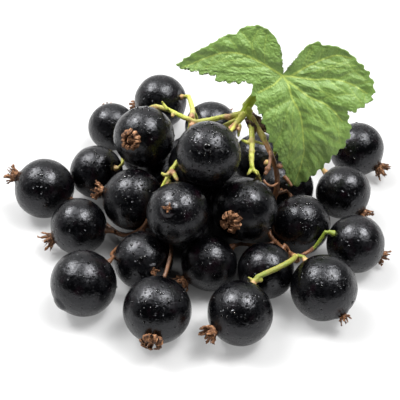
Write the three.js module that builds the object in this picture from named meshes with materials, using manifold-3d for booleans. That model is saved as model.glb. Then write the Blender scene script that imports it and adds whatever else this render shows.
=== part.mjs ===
// A blackcurrant sprig lying on a flat surface: a woody fruiting spur that carries one lobed leaf
// and six strigs, with every berry of the heap on a pedicel of its own.
// Millimetres, +Z up, the surface at z = 0, the sprig's front towards -Y.
import * as THREE from "three";
import { mergeVertices } from "three/addons/utils/BufferGeometryUtils.js";
import Module from "manifold-3d";

// ---------------------------------------------------------------- driving dimensions
const SKIN_GAP = 0.1;           // between two berries that touch
const STALK_GAP = 0.2;          // between a pedicel's end and its berry, and round every stem
const STRIG_RADIUS = 0.5;       // the main stem of a string of berries
const PEDICEL_RADIUS = 0.35;    // the thin stalk of one berry
const SPUR_RADIUS = 1.2;        // the woody knot that everything grows from
const LEAF_STALK_RADIUS = 0.7;
const STEM_SIDES = 6;
const STEM_STEP = 1.6;          // length of one facet along a stem
const FLOWER_LENGTH = 2.2;      // the withered flower at a berry's tip
const FLOWER_RADIUS = 1.8;
const LEAF_THICKNESS = 0.5;
const LEAF_TEETH = 40;
const TOOTH_DEPTH = 0.7;

const COLOURS = {
  berry: { color: 0x15121a, roughness: 0.22, metalness: 0 },
  flower: { color: 0x7a4a26, roughness: 0.9, metalness: 0 },
  green: { color: 0x93a548, roughness: 0.6, metalness: 0 },
  brown: { color: 0x5a3a22, roughness: 0.85, metalness: 0 },
  leaf: { color: 0x3f7a2a, roughness: 0.55, metalness: 0 },
};

// ---------------------------------------------------------------- berries
// at: centre, and with no height the berry rests on the surface. across: its diameter.
// tip: the way the withered flower points. stalk: the way the pedicel leaves, opposite the tip
// unless it is given. flower: size of what is left of the flower, 0 where it has dropped off.
const BERRIES = [
  { at: [-31.5, 6], across: 12, tip: [-0.9, 0.25, 0.3], flower: 1 },
  { at: [-23.5, -5], across: 11, tip: [-0.9, -0.15, -0.4], stalk: [0.9, -0.1, -0.1], flower: 1 },
  { at: [-21.5, 12], across: 11, tip: [-0.8, 0.35, -0.45], flower: 0.9 },
  { at: [-19.5, 28.5], across: 10.5, tip: [-0.3, 0.95, 0], flower: 1 },
  { at: [-9, 37.5], across: 12, tip: [-0.85, 0.3, -0.4], flower: 0.9 },
  { at: [-11, 8.5, 17], across: 12, tip: [-0.33, -0.8, 0.48], flower: 1.1 },
  { at: [2.5, 27.5], across: 11.5, tip: [0.4, 0.9, -0.1], stalk: [-0.35, -0.8, 0.5], flower: 1 },
  { at: [1.5, -3.5, 22], across: 12, tip: [-0.65, -0.3, -0.7], stalk: [0.6, 0.75, 0.2], flower: 0 },
  { at: [-13, -1, 9], across: 12, tip: [-1, 0.1, 0.25], stalk: [0.8, -0.5, 0.2], flower: 0.9 },
  { at: [-4, -11.5, 14.5], across: 11.5, tip: [-0.27, -0.62, 0.74], stalk: [-0.5, 0.6, -0.6], flower: 0.5 },
  { at: [8.5, -7.5, 12], across: 12, tip: [-0.44, -0.85, 0.28], flower: 1.1 },
  { at: [19.5, -4.5], across: 11.5, tip: [0.3, -0.8, -0.5], flower: 0 },
  { at: [12.5, 16.5], across: 11, tip: [-0.25, 0.85, -0.45], flower: 0.9 },
  { at: [29, 5.5], across: 11, tip: [0.65, -0.55, -0.5], flower: 0.9 },
  { at: [33.5, 19.5], across: 11.5, tip: [0.75, -0.45, -0.45], flower: 1 },
  { at: [29.5, -10], across: 11, tip: [0.85, 0, -0.5], flower: 0.8 },
  { at: [22, -22], across: 12, tip: [0.5, -0.8, -0.35], flower: 0.6 },
  { at: [-21, -21], across: 12, tip: [-0.7, -0.7, -0.2], flower: 0 },
  { at: [-10.5, -14.5], across: 11, tip: [0.37, -0.87, 0.34], flower: 0.5 },
  { at: [2, -15], across: 10.5, tip: [-0.8, -0.4, -0.4], flower: 0.9 },
  { at: [-7.5, -27.5], across: 12, tip: [-0.12, -0.98, -0.18], flower: 1 },
  { at: [7, -28], across: 11.5, tip: [-0.8, -0.6, -0.1], stalk: [0.4, 0.8, 0.4], flower: 1 },
  { at: [12, -17], across: 10.5, tip: [-0.6, -0.7, -0.4], flower: 0.8 },
  { at: [-7.5, 9], across: 11.5, tip: [0, 0.87, -0.45], flower: 0 },
  { at: [17.5, 6.5], across: 11, tip: [0.3, 0.8, -0.5], flower: 0 },
  { at: [-0.5, 4, 13.5], across: 11.5, tip: [0, -0.6, -0.8], flower: 0 },
  { at: [-2.5, -4], across: 10.5, tip: [0.8, 0.5, -0.3], flower: 0 },
  { at: [7.5, 2], across: 11, tip: [-0.3, 0.2, -0.9], flower: 0 },
  { at: [-2.5, 18.3], across: 9.2, tip: [0, 0, -1], flower: 0 },
  { at: [-12.2, 19.9], across: 10, tip: [0.2, 0.2, -1], flower: 0 },
  { at: [2.5, 10.5], across: 8.6, tip: [0.2, -0.1, -1], flower: 0 },
];

// ---------------------------------------------------------------- stems
// way: points along the main stem. berries: [berry number, point it branches from, points between].
const STRIGS = {
  strig_left: {
    colour: "green",
    way: [[7, 6.2, 24.2], [4.5, 6.2, 23.2], [1, 6, 22.8], [-1.5, 6.8, 22.2], [-4.5, 8.5, 22.8],
      [-9.5, 13, 21.5], [-12.5, 16, 17], [-15, 18.5, 12.5], [-17, 20.5, 8.5]],
    end: 4,
    berries: [[8, 0, [[7, 4.4, 23.4]]], [6, 6, []], [3, 7, [[-16, 13, 10.5]]], [30, 7, []]],
  },
  strig_back: {
    colour: "green",
    way: [[-1.6, 8.6, 21.8], [-1.5, 12, 20.5], [-1.5, 18, 16.5], [-1.5, 24, 13.5], [-2, 30, 10.5]],
    end: 5,
    berries: [[26, 1, []], [31, 1, []], [7, 2, [[-0.2, 20.6, 12.5]]], [29, 2, []]],
  },
  strig_inner: {
    colour: "green",
    way: [[7.6, 7.2, 22.4], [3.5, 6, 20.8], [-2, 3.2, 19.6], [-5, -1.8, 18.9], [-5.5, -4.7, 18.4],
      [-8, -6.5, 15], [-9, -6.8, 11], [-9.3, -7.5, 6.5], [-13.5, -7.5, 3.2], [-17.5, -5, 2.2],
      [-19, 1.5, 2], [-22.5, 4.2, 2.5]],
    end: 1,
    berries: [[24, 3, [[-7.5, 1.5, 12.5]]], [10, 6, []], [9, 6, []],
      [27, 7, []], [19, 7, [[-11.5, -8.5, 4]]], [18, 8, [[-17, -12.5, 4.5]]],
      [2, 9, []], [21, 6, [[-5.5, -10, 8.2], [-4.3, -15, 8.4], [-5.5, -19.5, 8]]]],
  },
  strig_middle: {
    colour: "green",
    way: [[9.6, 4.2, 22.6], [9.8, 1.2, 21.7], [9.6, -2.2, 20], [10.2, -3, 17.5], [11.5, -1.8, 13.5]],
    end: 11,
    berries: [[28, 4, []]],
  },
  strig_front: {
    colour: "brown",
    way: [[11, 3.6, 22.1], [13.2, 0.2, 20.6], [15, -2, 18], [16.3, -3.5, 15], [14.8, -1.5, 11],
      [13.6, -2, 7], [13.2, -5, 3.8], [14.8, -8, 3.2], [16.9, -13.2, 4.3], [17.7, -16, 7],
      [15.5, -19, 9.5], [12.5, -21.6, 9.4]],
    end: 22,
    berries: [[12, 4, []], [25, 3, []], [20, 7, [[11, -10.5, 4.5], [8, -12.2, 6.9]]],
      [23, 8, []], [17, 9, []], [16, 8, [[20, -12, 2.2], [23, -10.5, 3], [23.3, -9.5, 5.5]]]],
    bare: [[1, [[13.3, -2.4, 19.2], [12, -4.6, 18]]]],
  },
  strig_right: {
    colour: "green",
    way: [[15.2, 7.2, 20.1], [17, 8.8, 17.5], [20, 9.5, 13.5], [23.5, 11.5, 10.5], [26.5, 17, 9.5]],
    end: 15,
    berries: [[13, 1, [[15, 11, 12]]], [14, 3, []]],
  },
};
const SPUR_WAY = [[9.2, 6, 24], [11, 6, 22.9], [13.6, 5.6, 21.2]];
const LEAF_STALK_WAY = [[8.4, 6.6, 25.6], [9.8, 7, 27.2], [12, 7, 30], [14.4, 6.4, 32.6]];

// ---------------------------------------------------------------- leaf
// Outline in the blade's own plane from where the stalk joins it: across to the right, then down
// towards the middle lobe's tip. The margin's teeth are added along it.
const LEAF_JOINT = [15.2, 5.5, 33.1];
const LEAF_ACROSS = [1, 0, 0];
const LEAF_DOWN = [0, -0.5, -0.87];
const LEAF_OUTLINE = [
  [0, -1.5], [-2.5, -8], [-5, -9], [-11, -7.5], [-16, -4], [-19.5, -1], [-12, 1], [-5.5, 1.5],
  [-5, 4.5], [-3.5, 9], [-1.5, 13], [0.5, 17], [2.5, 21], [7.5, 17.5], [11.5, 13.5], [12.5, 9],
  [11.8, 6.8], [15, 5.5], [17, 3.5], [15.5, -1], [11, -4.5], [6.5, -6], [3, -4.5],
];
const LEAF_RINGS = 4;

// ---------------------------------------------------------------- helpers
const wasm = await Module();
wasm.setup();

const vector = (list) => new THREE.Vector3(...list);

// The same shape with one vertex for each corner, which is what a solid needs.
function merge(geometry) {
  geometry.deleteAttribute("normal");
  geometry.deleteAttribute("uv");
  return mergeVertices(geometry, 1e-5);
}

function toSolid(geometry) {
  const merged = merge(geometry);
  return new wasm.Manifold(new wasm.Mesh({
    numProp: 3,
    vertProperties: new Float32Array(merged.attributes.position.array),
    triVerts: new Uint32Array(merged.index.array),
  }));
}

function toGeometry(solid) {
  const mesh = solid.getMesh();
  const geometry = new THREE.BufferGeometry();
  geometry.setAttribute("position", new THREE.BufferAttribute(new Float32Array(mesh.vertProperties), 3));
  geometry.setIndex(new THREE.BufferAttribute(new Uint32Array(mesh.triVerts), 1));
  geometry.computeVertexNormals();
  return geometry;
}

const sprig = new THREE.Group();

function addPart(name, geometry, colour) {
  const mesh = new THREE.Mesh(geometry, new THREE.MeshStandardMaterial(COLOURS[colour]));
  mesh.name = name;
  sprig.add(mesh);
  return mesh;
}

// ---------------------------------------------------------------- how the berries lie
const berries = BERRIES.map((row, index) => {
  const radius = row.across / 2;
  const tip = vector(row.tip).normalize();
  return {
    number: index + 1,
    radius,
    centre: new THREE.Vector3(row.at[0], row.at[1], row.at[2] ?? radius),
    tip,
    stalk: row.stalk ? vector(row.stalk).normalize() : tip.clone().negate(),
    flower: row.flower,
  };
});

// Berries that would press into each other give way until they only touch, none below the surface.
function settle(rounds) {
  for (let round = 0; round < rounds; round += 1) {
    for (const [index, one] of berries.entries()) {
      for (const other of berries.slice(index + 1)) {
        const between = other.centre.clone().sub(one.centre);
        const overlap = one.radius + other.radius + SKIN_GAP - between.length();
        if (overlap > 0) {
          between.setLength(overlap / 2);
          other.centre.add(between);
          one.centre.sub(between);
        }
      }
    }
    for (const berry of berries) {
      berry.centre.z = Math.max(berry.centre.z, berry.radius);
    }
  }
}

const stalkEnd = (berry, away) => berry.centre.clone().addScaledVector(berry.stalk, berry.radius + away);

// ---------------------------------------------------------------- stems
// A stem's way, cut into even steps, is relaxed so that it runs smoothly and clear of every berry.
function clearWay(points, radius, rounds = 60) {
  const rough = new THREE.CatmullRomCurve3(points, false, "centripetal");
  const steps = Math.max(4, Math.round(rough.getLength() / STEM_STEP));
  const way = rough.getSpacedPoints(steps);
  for (let round = 0; round < rounds; round += 1) {
    for (let i = 2; i < way.length - 2; i += 1) {
      const middle = way[i - 1].clone().add(way[i + 1]).multiplyScalar(0.5);
      way[i].lerp(middle, 0.2);
    }
    for (let i = 1; i < way.length - 2; i += 1) {
      for (const berry of berries) {
        const outward = way[i].clone().sub(berry.centre);
        const room = berry.radius + radius + STALK_GAP;
        if (outward.length() < room) {
          way[i].copy(berry.centre).add(outward.setLength(room));
        }
      }
      way[i].z = Math.max(way[i].z, radius + STALK_GAP);
    }
  }
  return new THREE.CatmullRomCurve3(way, false, "centripetal");
}

function tube(curve, radius) {
  const corners = [];
  for (let side = 0; side < STEM_SIDES; side += 1) {
    const angle = (side / STEM_SIDES) * 2 * Math.PI;
    corners.push(new THREE.Vector2(radius * Math.cos(angle), radius * Math.sin(angle)));
  }
  const steps = Math.max(3, curve.points.length - 1);
  return toSolid(new THREE.ExtrudeGeometry(new THREE.Shape(corners), {
    steps,
    extrudePath: curve,
    bevelEnabled: false,
  }));
}

// The way's last points lead straight on to the berry's stalk end.
function wayToBerry(points, number) {
  const berry = berries[number - 1];
  return [...points, stalkEnd(berry, 1.2), stalkEnd(berry, STALK_GAP)];
}

function makeStrig(strig) {
  const way = strig.way.map(vector);
  const main = clearWay(wayToBerry(way, strig.end), STRIG_RADIUS);
  const nearest = (point) => main.points.reduce((best, candidate) => (
    candidate.distanceTo(point) < best.distanceTo(point) ? candidate : best));
  let solid = tube(main, STRIG_RADIUS);
  for (const [number, from, between] of strig.berries) {
    const points = wayToBerry([nearest(way[from]), ...between.map(vector)], number);
    solid = solid.add(tube(clearWay(points, PEDICEL_RADIUS), PEDICEL_RADIUS));
  }
  for (const [from, between] of strig.bare ?? []) {
    const points = [nearest(way[from]), ...between.map(vector)];
    solid = solid.add(tube(clearWay(points, PEDICEL_RADIUS), PEDICEL_RADIUS));
  }
  return toGeometry(solid);
}

function makeStem(points, radius) {
  return toGeometry(tube(clearWay(points.map(vector), radius), radius));
}

// ---------------------------------------------------------------- withered flower
// A short neck that opens into five curled, papery lobes, with a hollow between them.
function makeFlower(size) {
  const profile = [[0, 0], [0.45, 0], [0.4, 0.35], [1, 0.85], [0.8, 1], [0.3, 0.6], [0, 0.5]];
  const points = profile.map(([out, along]) => (
    new THREE.Vector2(out * FLOWER_RADIUS * size, along * FLOWER_LENGTH * size)));
  const lathe = merge(new THREE.LatheGeometry(points, 10));
  const position = lathe.attributes.position;
  for (let i = 0; i < position.count; i += 1) {
    const lobe = Math.round(Math.atan2(position.getX(i), position.getZ(i)) / (Math.PI / 5));
    const flare = position.getY(i) > 0.7 * FLOWER_LENGTH * size && lobe % 2 !== 0;
    const pinch = flare ? 0.6 : 1;
    position.setXYZ(i, position.getX(i) * pinch, position.getY(i), position.getZ(i) * pinch);
  }
  return toGeometry(toSolid(lathe));
}

// ---------------------------------------------------------------- leaf
function leafOutline() {
  const smooth = new THREE.CatmullRomCurve3(
    LEAF_OUTLINE.map(([across, down]) => new THREE.Vector3(across, down, 0)), true, "centripetal");
  return smooth.getSpacedPoints(2 * LEAF_TEETH).slice(0, -1).map((point, index) => {
    const reach = index % 2 === 0 ? 0 : TOOTH_DEPTH;
    return point.setLength(point.length() + reach);
  });
}

// The blade arches over its middle, and its left lobe bends away and down.
function bladeRise(across, down) {
  const side = across < 0 ? 0.02 * across ** 2 : 0.007 * across ** 2;
  return 1.2 * Math.sin(0.15 * Math.max(down, 0)) - side - 0.006 * down ** 2;
}

function makeLeaf() {
  const outline = leafOutline();
  const across = vector(LEAF_ACROSS).normalize();
  const down = vector(LEAF_DOWN).normalize();
  const outward = new THREE.Vector3().crossVectors(down, across).normalize();
  const joint = vector(LEAF_JOINT);
  const place = (point, rise) => joint.clone()
    .addScaledVector(across, point.x)
    .addScaledVector(down, point.y)
    .addScaledVector(outward, bladeRise(point.x, point.y) + rise);
  const positions = [];
  const faces = [];
  const count = outline.length;
  const faceStart = (face) => face * (1 + count * LEAF_RINGS);
  for (const rise of [LEAF_THICKNESS / 2, -LEAF_THICKNESS / 2]) {
    positions.push(place(new THREE.Vector3(), rise));
    for (let ring = 1; ring <= LEAF_RINGS; ring += 1) {
      for (const point of outline) {
        positions.push(place(point.clone().multiplyScalar(ring / LEAF_RINGS), rise));
      }
    }
  }
  const corner = (face, ring, index) => faceStart(face) + 1 + (ring - 1) * count + (index % count);
  for (let i = 0; i < count; i += 1) {
    faces.push([0, corner(0, 1, i), corner(0, 1, i + 1)]);
    faces.push([faceStart(1), corner(1, 1, i + 1), corner(1, 1, i)]);
    for (let ring = 1; ring < LEAF_RINGS; ring += 1) {
      addQuad(faces, corner(0, ring, i + 1), corner(0, ring, i), corner(0, ring + 1, i),
        corner(0, ring + 1, i + 1));
      addQuad(faces, corner(1, ring, i), corner(1, ring, i + 1), corner(1, ring + 1, i + 1),
        corner(1, ring + 1, i));
    }
    addQuad(faces, corner(0, LEAF_RINGS, i + 1), corner(0, LEAF_RINGS, i),
      corner(1, LEAF_RINGS, i), corner(1, LEAF_RINGS, i + 1));
  }
  const geometry = new THREE.BufferGeometry();
  geometry.setFromPoints(positions);
  geometry.setIndex(faces.flat());
  return geometry;
}

function addQuad(faces, a, b, c, d) {
  faces.push([a, b, c], [a, c, d]);
}

// ---------------------------------------------------------------- the sprig
settle(200);

for (const berry of berries) {
  const number = String(berry.number).padStart(2, "0");
  const mesh = addPart(`berry_${number}`, toGeometry(toSolid(
    new THREE.IcosahedronGeometry(berry.radius, 3))), "berry");
  mesh.position.copy(berry.centre);
  if (berry.flower > 0) {
    const flower = addPart(`flower_${number}`, makeFlower(berry.flower), "flower");
    flower.quaternion.setFromUnitVectors(new THREE.Vector3(0, 1, 0), berry.tip);
    flower.position.copy(berry.centre).addScaledVector(berry.tip, berry.radius + SKIN_GAP);
  }
}
for (const [name, strig] of Object.entries(STRIGS)) {
  addPart(name, makeStrig(strig), strig.colour);
}
addPart("spur", makeStem(SPUR_WAY, SPUR_RADIUS), "brown");
addPart("leaf_stalk", makeStem(LEAF_STALK_WAY, LEAF_STALK_RADIUS), "green");
addPart("leaf_blade", makeLeaf(), "leaf");

// The frame's origin is on the surface, under the middle of the sprig.
const box = new THREE.Box3().setFromObject(sprig, true);
const middle = box.getCenter(new THREE.Vector3());
sprig.position.set(-middle.x, -middle.y, -box.min.z);

export default sprig;
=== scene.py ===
# %% [markdown]
# # A sprig of ripe blackcurrants
# Blackcurrants grow on short woody spurs. Each spur sends out a few thin strings, called strigs,
# and each strig carries its berries on little stalks. A sprig that is laid down becomes a heap:
# the berries roll against each other and the strigs disappear between them.
#
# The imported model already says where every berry, strig and leaf lies. This lesson keeps those
# places and makes each piece again with the shape and finish of the real thing.

import bisect
import math
import random

import bmesh
import bpy
import numpy
from mathutils import Matrix, Vector, noise


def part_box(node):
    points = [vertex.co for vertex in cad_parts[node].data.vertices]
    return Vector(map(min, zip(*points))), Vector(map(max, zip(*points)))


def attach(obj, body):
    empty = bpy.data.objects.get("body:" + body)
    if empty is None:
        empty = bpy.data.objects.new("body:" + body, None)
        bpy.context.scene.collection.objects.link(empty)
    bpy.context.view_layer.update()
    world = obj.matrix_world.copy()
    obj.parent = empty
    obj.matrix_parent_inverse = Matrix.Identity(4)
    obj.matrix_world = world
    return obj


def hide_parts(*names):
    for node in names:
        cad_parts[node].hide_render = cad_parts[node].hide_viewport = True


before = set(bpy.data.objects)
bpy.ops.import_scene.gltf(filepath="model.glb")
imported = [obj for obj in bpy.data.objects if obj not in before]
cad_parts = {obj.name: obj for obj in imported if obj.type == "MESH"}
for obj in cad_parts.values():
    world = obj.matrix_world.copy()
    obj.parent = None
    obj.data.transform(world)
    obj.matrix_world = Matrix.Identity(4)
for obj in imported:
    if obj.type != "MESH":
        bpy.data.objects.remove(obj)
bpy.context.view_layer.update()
MM = 0.001
# Python's draws and Blender's noise vectors each have a seed, so every run gives one result.
SEED = 5
random.seed(SEED)
noise.seed_set(SEED)

# %% [markdown]
# ## Places in the heap
# The routes of the stems are written in millimetres from a point on the table under the heap.
# The frame has its origin under the middle of the whole sprig, so one small shift joins the two.

# %% One helper for places
HEAP_SHIFT = Vector((-0.46, -3.79, 0))


def at(x, y, z):
    """A place in the heap, given in millimetres, as metres in the frame."""
    return (Vector((x, y, z)) + HEAP_SHIFT) * MM


def soft_step(value):
    """0 below 0, 1 above 1, and a smooth climb between them."""
    value = min(max(value, 0), 1)
    return value * value * (3 - 2 * value)


# %% [markdown]
# ## The camera
# A close look down at the table, 40 degrees above the horizon. A long lens at a hand's span
# keeps the berries round and still lets the near ones look larger than the far ones.

# %% Make the camera
CAMERA_TILT = math.radians(40)
CAMERA_DISTANCE = 181.9 * MM
FOCAL_LENGTH = 83.4
SENSOR_WIDTH = 36
LOOK_AT = at(0, 0, 8)

camera_data = bpy.data.cameras.new("camera")
camera_data.lens = FOCAL_LENGTH
camera_data.sensor_width = SENSOR_WIDTH
camera_data.clip_start = 0.01
camera_data.clip_end = 20
camera = bpy.data.objects.new("camera", camera_data)
bpy.context.scene.collection.objects.link(camera)
camera.location = LOOK_AT + CAMERA_DISTANCE * Vector(
    (0, -math.cos(CAMERA_TILT), math.sin(CAMERA_TILT)))
camera.rotation_euler = (math.pi / 2 - CAMERA_TILT, 0, 0)
bpy.context.scene.camera = camera
print("camera at", tuple(round(value, 4) for value in camera.location))

# %% [markdown]
# ## The light
# A dark glossy berry is a small round mirror: it shows the room. Two bright lights overhead give
# it two pale patches with a dark gap between them, and its waxy skin spreads each patch. Each of
# the two has a small core, more than three times as bright, so that a patch is brightest in its
# middle and fades towards its edge. A wide dim light above softens the shadows.
#
# The brightness of a soft light is easier to think about than its power, so the helper asks
# for the brightness and works out the power from the size.

# %% Hang the lights
LIGHT_DISTANCE = 1.2


def soft_light(name, direction, size, brightness):
    """A square lamp of that size in metres, facing the middle of the table."""
    data = bpy.data.lights.new(name, "AREA")
    data.size = size
    data.energy = brightness * math.pi * size ** 2
    light = bpy.data.objects.new(name, data)
    bpy.context.scene.collection.objects.link(light)
    direction = Vector(direction).normalized()
    light.location = direction * LIGHT_DISTANCE
    light.rotation_euler = direction.to_track_quat("Z", "Y").to_euler()
    print(name, "gives", round(data.energy, 2), "W")


soft_light("light_left", (-0.48, 0.28, 0.83), 0.66, 10.4)
soft_light("light_left_core", (-0.50, 0.25, 0.82), 0.20, 35)
soft_light("light_right", (0.40, 0.05, 0.91), 0.70, 10.4)
soft_light("light_right_core", (0.41, 0.04, 0.91), 0.20, 35)
soft_light("light_above", (-0.1, 0.3, 1), 1.6, 0.6)
bpy.context.scene.view_settings.view_transform = "Standard"

# %% [markdown]
# ## Nodes in one line
# Every finish below is a little network of nodes that starts from the place on the piece. These
# helpers keep the networks short. The most used one joins a node's inputs, and takes a plain
# value or another node's output for each of them.

# %% Helpers that add and join nodes


def join(tree, node, inputs):
    """Fills a node's inputs. Each gets a number or colour, or another node's output."""
    for name, value in inputs.items():
        if isinstance(value, bpy.types.NodeSocket):
            tree.links.new(value, node.inputs[name])
        else:
            node.inputs[name].default_value = value


def add(tree, kind, inputs=None, **settings):
    """A new node with these inputs and settings."""
    node = tree.nodes.new("ShaderNode" + kind)
    for name, value in settings.items():
        setattr(node, name, value)
    join(tree, node, inputs or {})
    return node


def new_material(name):
    """A material, its nodes, its shader and the place on the piece as a node's output."""
    material = bpy.data.materials.new(name)
    material.use_nodes = True
    tree = material.node_tree
    return material, tree, tree.nodes["Principled BSDF"], add(tree, "TexCoord").outputs["Object"]


# %% Helpers for values, colours and relief


def stretch(tree, value, low, high, to_low=0.0, to_high=1.0):
    """Spreads the values between low and high over to_low and to_high."""
    inputs = {"Value": value, 1: low, 2: high, 3: to_low, 4: to_high}
    return add(tree, "MapRange", inputs).outputs[0]


def combine(tree, operation, first, second):
    """A sum, product or other result of two values."""
    return add(tree, "Math", {0: first, 1: second}, operation=operation).outputs[0]


def mottle(tree, place, scale, detail, rough=0.5):
    """A cloudy pattern. Rough says how strong its finest clouds are."""
    inputs = {"Vector": place, "Scale": scale, "Detail": detail, "Roughness": rough}
    return add(tree, "TexNoise", inputs).outputs[0]


def carried(tree, name):
    """A value that the points of the mesh carry under this name."""
    return add(tree, "Attribute", attribute_name=name).outputs["Fac"]


def blend(tree, amount, first, second):
    """The first colour where amount is 0 and the second where it is 1."""
    inputs = {0: amount, 6: first, 7: second}
    return add(tree, "Mix", inputs, data_type="RGBA").outputs[2]


def colour_ramp(tree, value, *stops):
    """The colour for a value. Each stop is a value and its colour, from low to high."""
    ramp = add(tree, "ValToRGB", {"Fac": value})
    elements = ramp.color_ramp.elements
    for element, (spot, colour) in zip(elements, (stops[0], stops[-1])):
        element.position = spot
        element.color = colour
    for spot, colour in stops[1:-1]:
        elements.new(spot).color = colour
    return ramp.outputs["Color"]


def relief(tree, *layers):
    """Bumps on bumps. Each layer is a height from 0 to 1 and its depth in millimetres."""
    normal = None
    for height, depth in layers:
        inputs = {"Height": height, "Distance": depth * MM}
        if normal is not None:
            inputs["Normal"] = normal
        normal = add(tree, "Bump", inputs).outputs["Normal"]
    return normal


def show_finish(*materials):
    for material in materials:
        print(material.name, "has", len(material.node_tree.nodes), "nodes")


# %% [markdown]
# ## The room and the table
# The room is part of the light, because every berry mirrors it. It is pale, so that the berries
# have a soft grey edge, and it fades almost to black towards the side of the camera, so that
# their fronts stay black between the highlights. The fade is fixed to the room: it stays where
# it is when the sprig is seen from another side.
#
# The table is a grey sheet with a glow, which is painted light: it lifts the table to white and
# lightens the shadows around the heap. Below the heap it doesn't glow, and its dark grey there is
# a painted shadow, so that no light comes up through the gaps in the heap.

# %% A pale room that is dark around the camera
DARK_SIDE = (0.26, -0.93, 0.25)

world = bpy.data.worlds.new("room")
bpy.context.scene.world = world
world.use_nodes = True
room = world.node_tree
ray = add(room, "TexCoord").outputs["Generated"]
towards_dark = add(room, "VectorMath", {0: ray, 1: DARK_SIDE}, operation="DOT_PRODUCT")
brightness = stretch(room, towards_dark.outputs["Value"], -0.75, 0.3, 0.8, 0.02)
join(room, room.nodes["Background"], {"Color": (1, 1, 1, 1), "Strength": brightness})
print("the room has", len(room.nodes), "nodes")

# %% A pale table
TABLE_REACH = 1.0

bm = bmesh.new()
bmesh.ops.create_grid(bm, x_segments=1, y_segments=1, size=TABLE_REACH)
floor_mesh = bpy.data.meshes.new("floor")
bm.to_mesh(floor_mesh)
bm.free()
floor = bpy.data.objects.new("floor", floor_mesh)
bpy.context.scene.collection.objects.link(floor)
table_finish, tree, shader, place = new_material("pale table")
from_middle = add(tree, "VectorMath", {0: place}, operation="LENGTH").outputs["Value"]
# Painted shadow: dark grey under the heap. Painted light: a glow outside it that lightens the
# shadows around the heap.
join(tree, shader, {
    "Base Color": stretch(tree, from_middle, 16.5 * MM, 27 * MM, 0.08, 0.36),
    "Emission Strength": stretch(tree, from_middle, 18 * MM, 36 * MM, 0.0, 0.34),
    "Emission Color": (1, 1, 1, 1), "Roughness": 0.9, "Specular IOR Level": 0.1,
})
floor_mesh.materials.append(table_finish)
show_finish(table_finish)

# %% [markdown]
# ## From a bmesh to a piece
# Each piece rides on the sprig's one body, and the CAD nodes it stands for are hidden.

# %% A helper that finishes a piece


def make_piece(bm, name, slot, nodes, *materials):
    """Turns the bmesh into a piece that stands for these CAD nodes, if there are any."""
    mesh = bpy.data.meshes.new(name)
    bm.to_mesh(mesh)
    bm.free()
    mesh.shade_smooth()
    for material in materials:
        mesh.materials.append(material)
    piece = bpy.data.objects.new(name, mesh)
    bpy.context.scene.collection.objects.link(piece)
    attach(piece, "root")
    if nodes:
        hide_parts(*nodes)
    return piece


# %% [markdown]
# ## The berries
# A blackcurrant is almost a ball. It is a little flatter from stalk to tip, it has a small dimple
# where its stalk joins, and the skin rises a little to the dry flower at the other end. A ball
# made of triangles has no poles, so it is a better start than a globe of rings. Its points are
# then moved in and out.
#
# The drops of water will need to know where the skin is, so the shape is one function that says
# how far the skin lies from the middle in any direction.
#
# A berry's tip points at its flower in the CAD. The first list gives the tips of the berries that
# have none. Most stalks join opposite the tip, and the second list gives the ones that don't.

# %% Where each berry is and which way it points
BERRY_COUNT = 31
FLOWER_GAP = 0.1 * MM
FLOWER_MIDDLE = 1.1 * MM
BARE_TIPS = {
    8: (-0.65, -0.3, -0.7), 12: (0.3, -0.8, -0.5), 18: (-0.7, -0.7, -0.2), 24: (0, 0.87, -0.45),
    25: (0.3, 0.8, -0.5), 26: (0, -0.6, -0.8), 27: (0.8, 0.5, -0.3), 28: (-0.3, 0.2, -0.9),
    29: (0, 0, -1), 30: (0.2, 0.2, -1), 31: (0.2, -0.1, -1),
}
TURNED_STALKS = {
    2: (0.9, -0.1, -0.1), 7: (-0.35, -0.8, 0.5), 8: (0.6, 0.75, 0.2), 9: (0.8, -0.5, 0.2),
    10: (-0.5, 0.6, -0.6), 22: (0.4, 0.8, 0.4),
}


def middle_of(node):
    """The mean of a CAD node's corners."""
    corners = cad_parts[node].data.vertices
    return sum((corner.co for corner in corners), Vector()) / len(corners)


def find_berry(number):
    """The place, size, tip and stalk of a berry, read from the CAD."""
    low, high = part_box(f"berry_{number:02d}")
    berry = {"number": number, "middle": (Vector(low) + Vector(high)) / 2}
    berry["radius"] = max(Vector(high) - Vector(low)) / 2
    flower = f"flower_{number:02d}"
    berry["flower"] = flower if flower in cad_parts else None
    if berry["flower"]:
        tip = middle_of(flower) - berry["middle"]
        berry["flower_size"] = (tip.length - berry["radius"] - FLOWER_GAP) / FLOWER_MIDDLE
    else:
        tip = Vector(BARE_TIPS[number])
    berry["tip"] = tip.normalized()
    berry["stalk"] = Vector(TURNED_STALKS.get(number, -berry["tip"])).normalized()
    return berry


berries = {number: find_berry(number) for number in range(1, BERRY_COUNT + 1)}
sizes = [2 * berry["radius"] / MM for berry in berries.values()]
print(len(berries), "berries,", round(min(sizes), 1), "to", round(max(sizes), 1), "mm across")

# %% The shape of the skin


def skin_radius(berry, way):
    """How far the skin is from the berry's middle, looking along way."""
    own = Vector((berry["number"] * 3.7, 0, 0))
    to_tip = way.dot(berry["tip"])
    to_stalk = way.dot(berry["stalk"])
    lumps = 0.016 * noise.noise(way * 1.5 + own) + 0.003 * noise.noise(way * 7 + own)
    flat = -0.02 * to_tip ** 2
    neck = 0.05 * soft_step((to_tip - 0.955) / 0.04)
    dimple = -0.05 * soft_step((to_stalk - 0.95) / 0.05)
    return berry["radius"] * (1.008 + lumps + flat + neck + dimple)


# %% [markdown]
# ### The skin
# Ripe skin is purple so dark that it looks black. A thin waxy bloom greys it and takes off the
# shine in cloudy patches, small pores break the highlights into dark dots, and where the bloom
# has been rubbed away the skin is glossy. So the gloss here isn't one number: it follows the
# same clouds as the colour, and a fine grain makes it sparkle.

# %% The skin's finish


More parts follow.
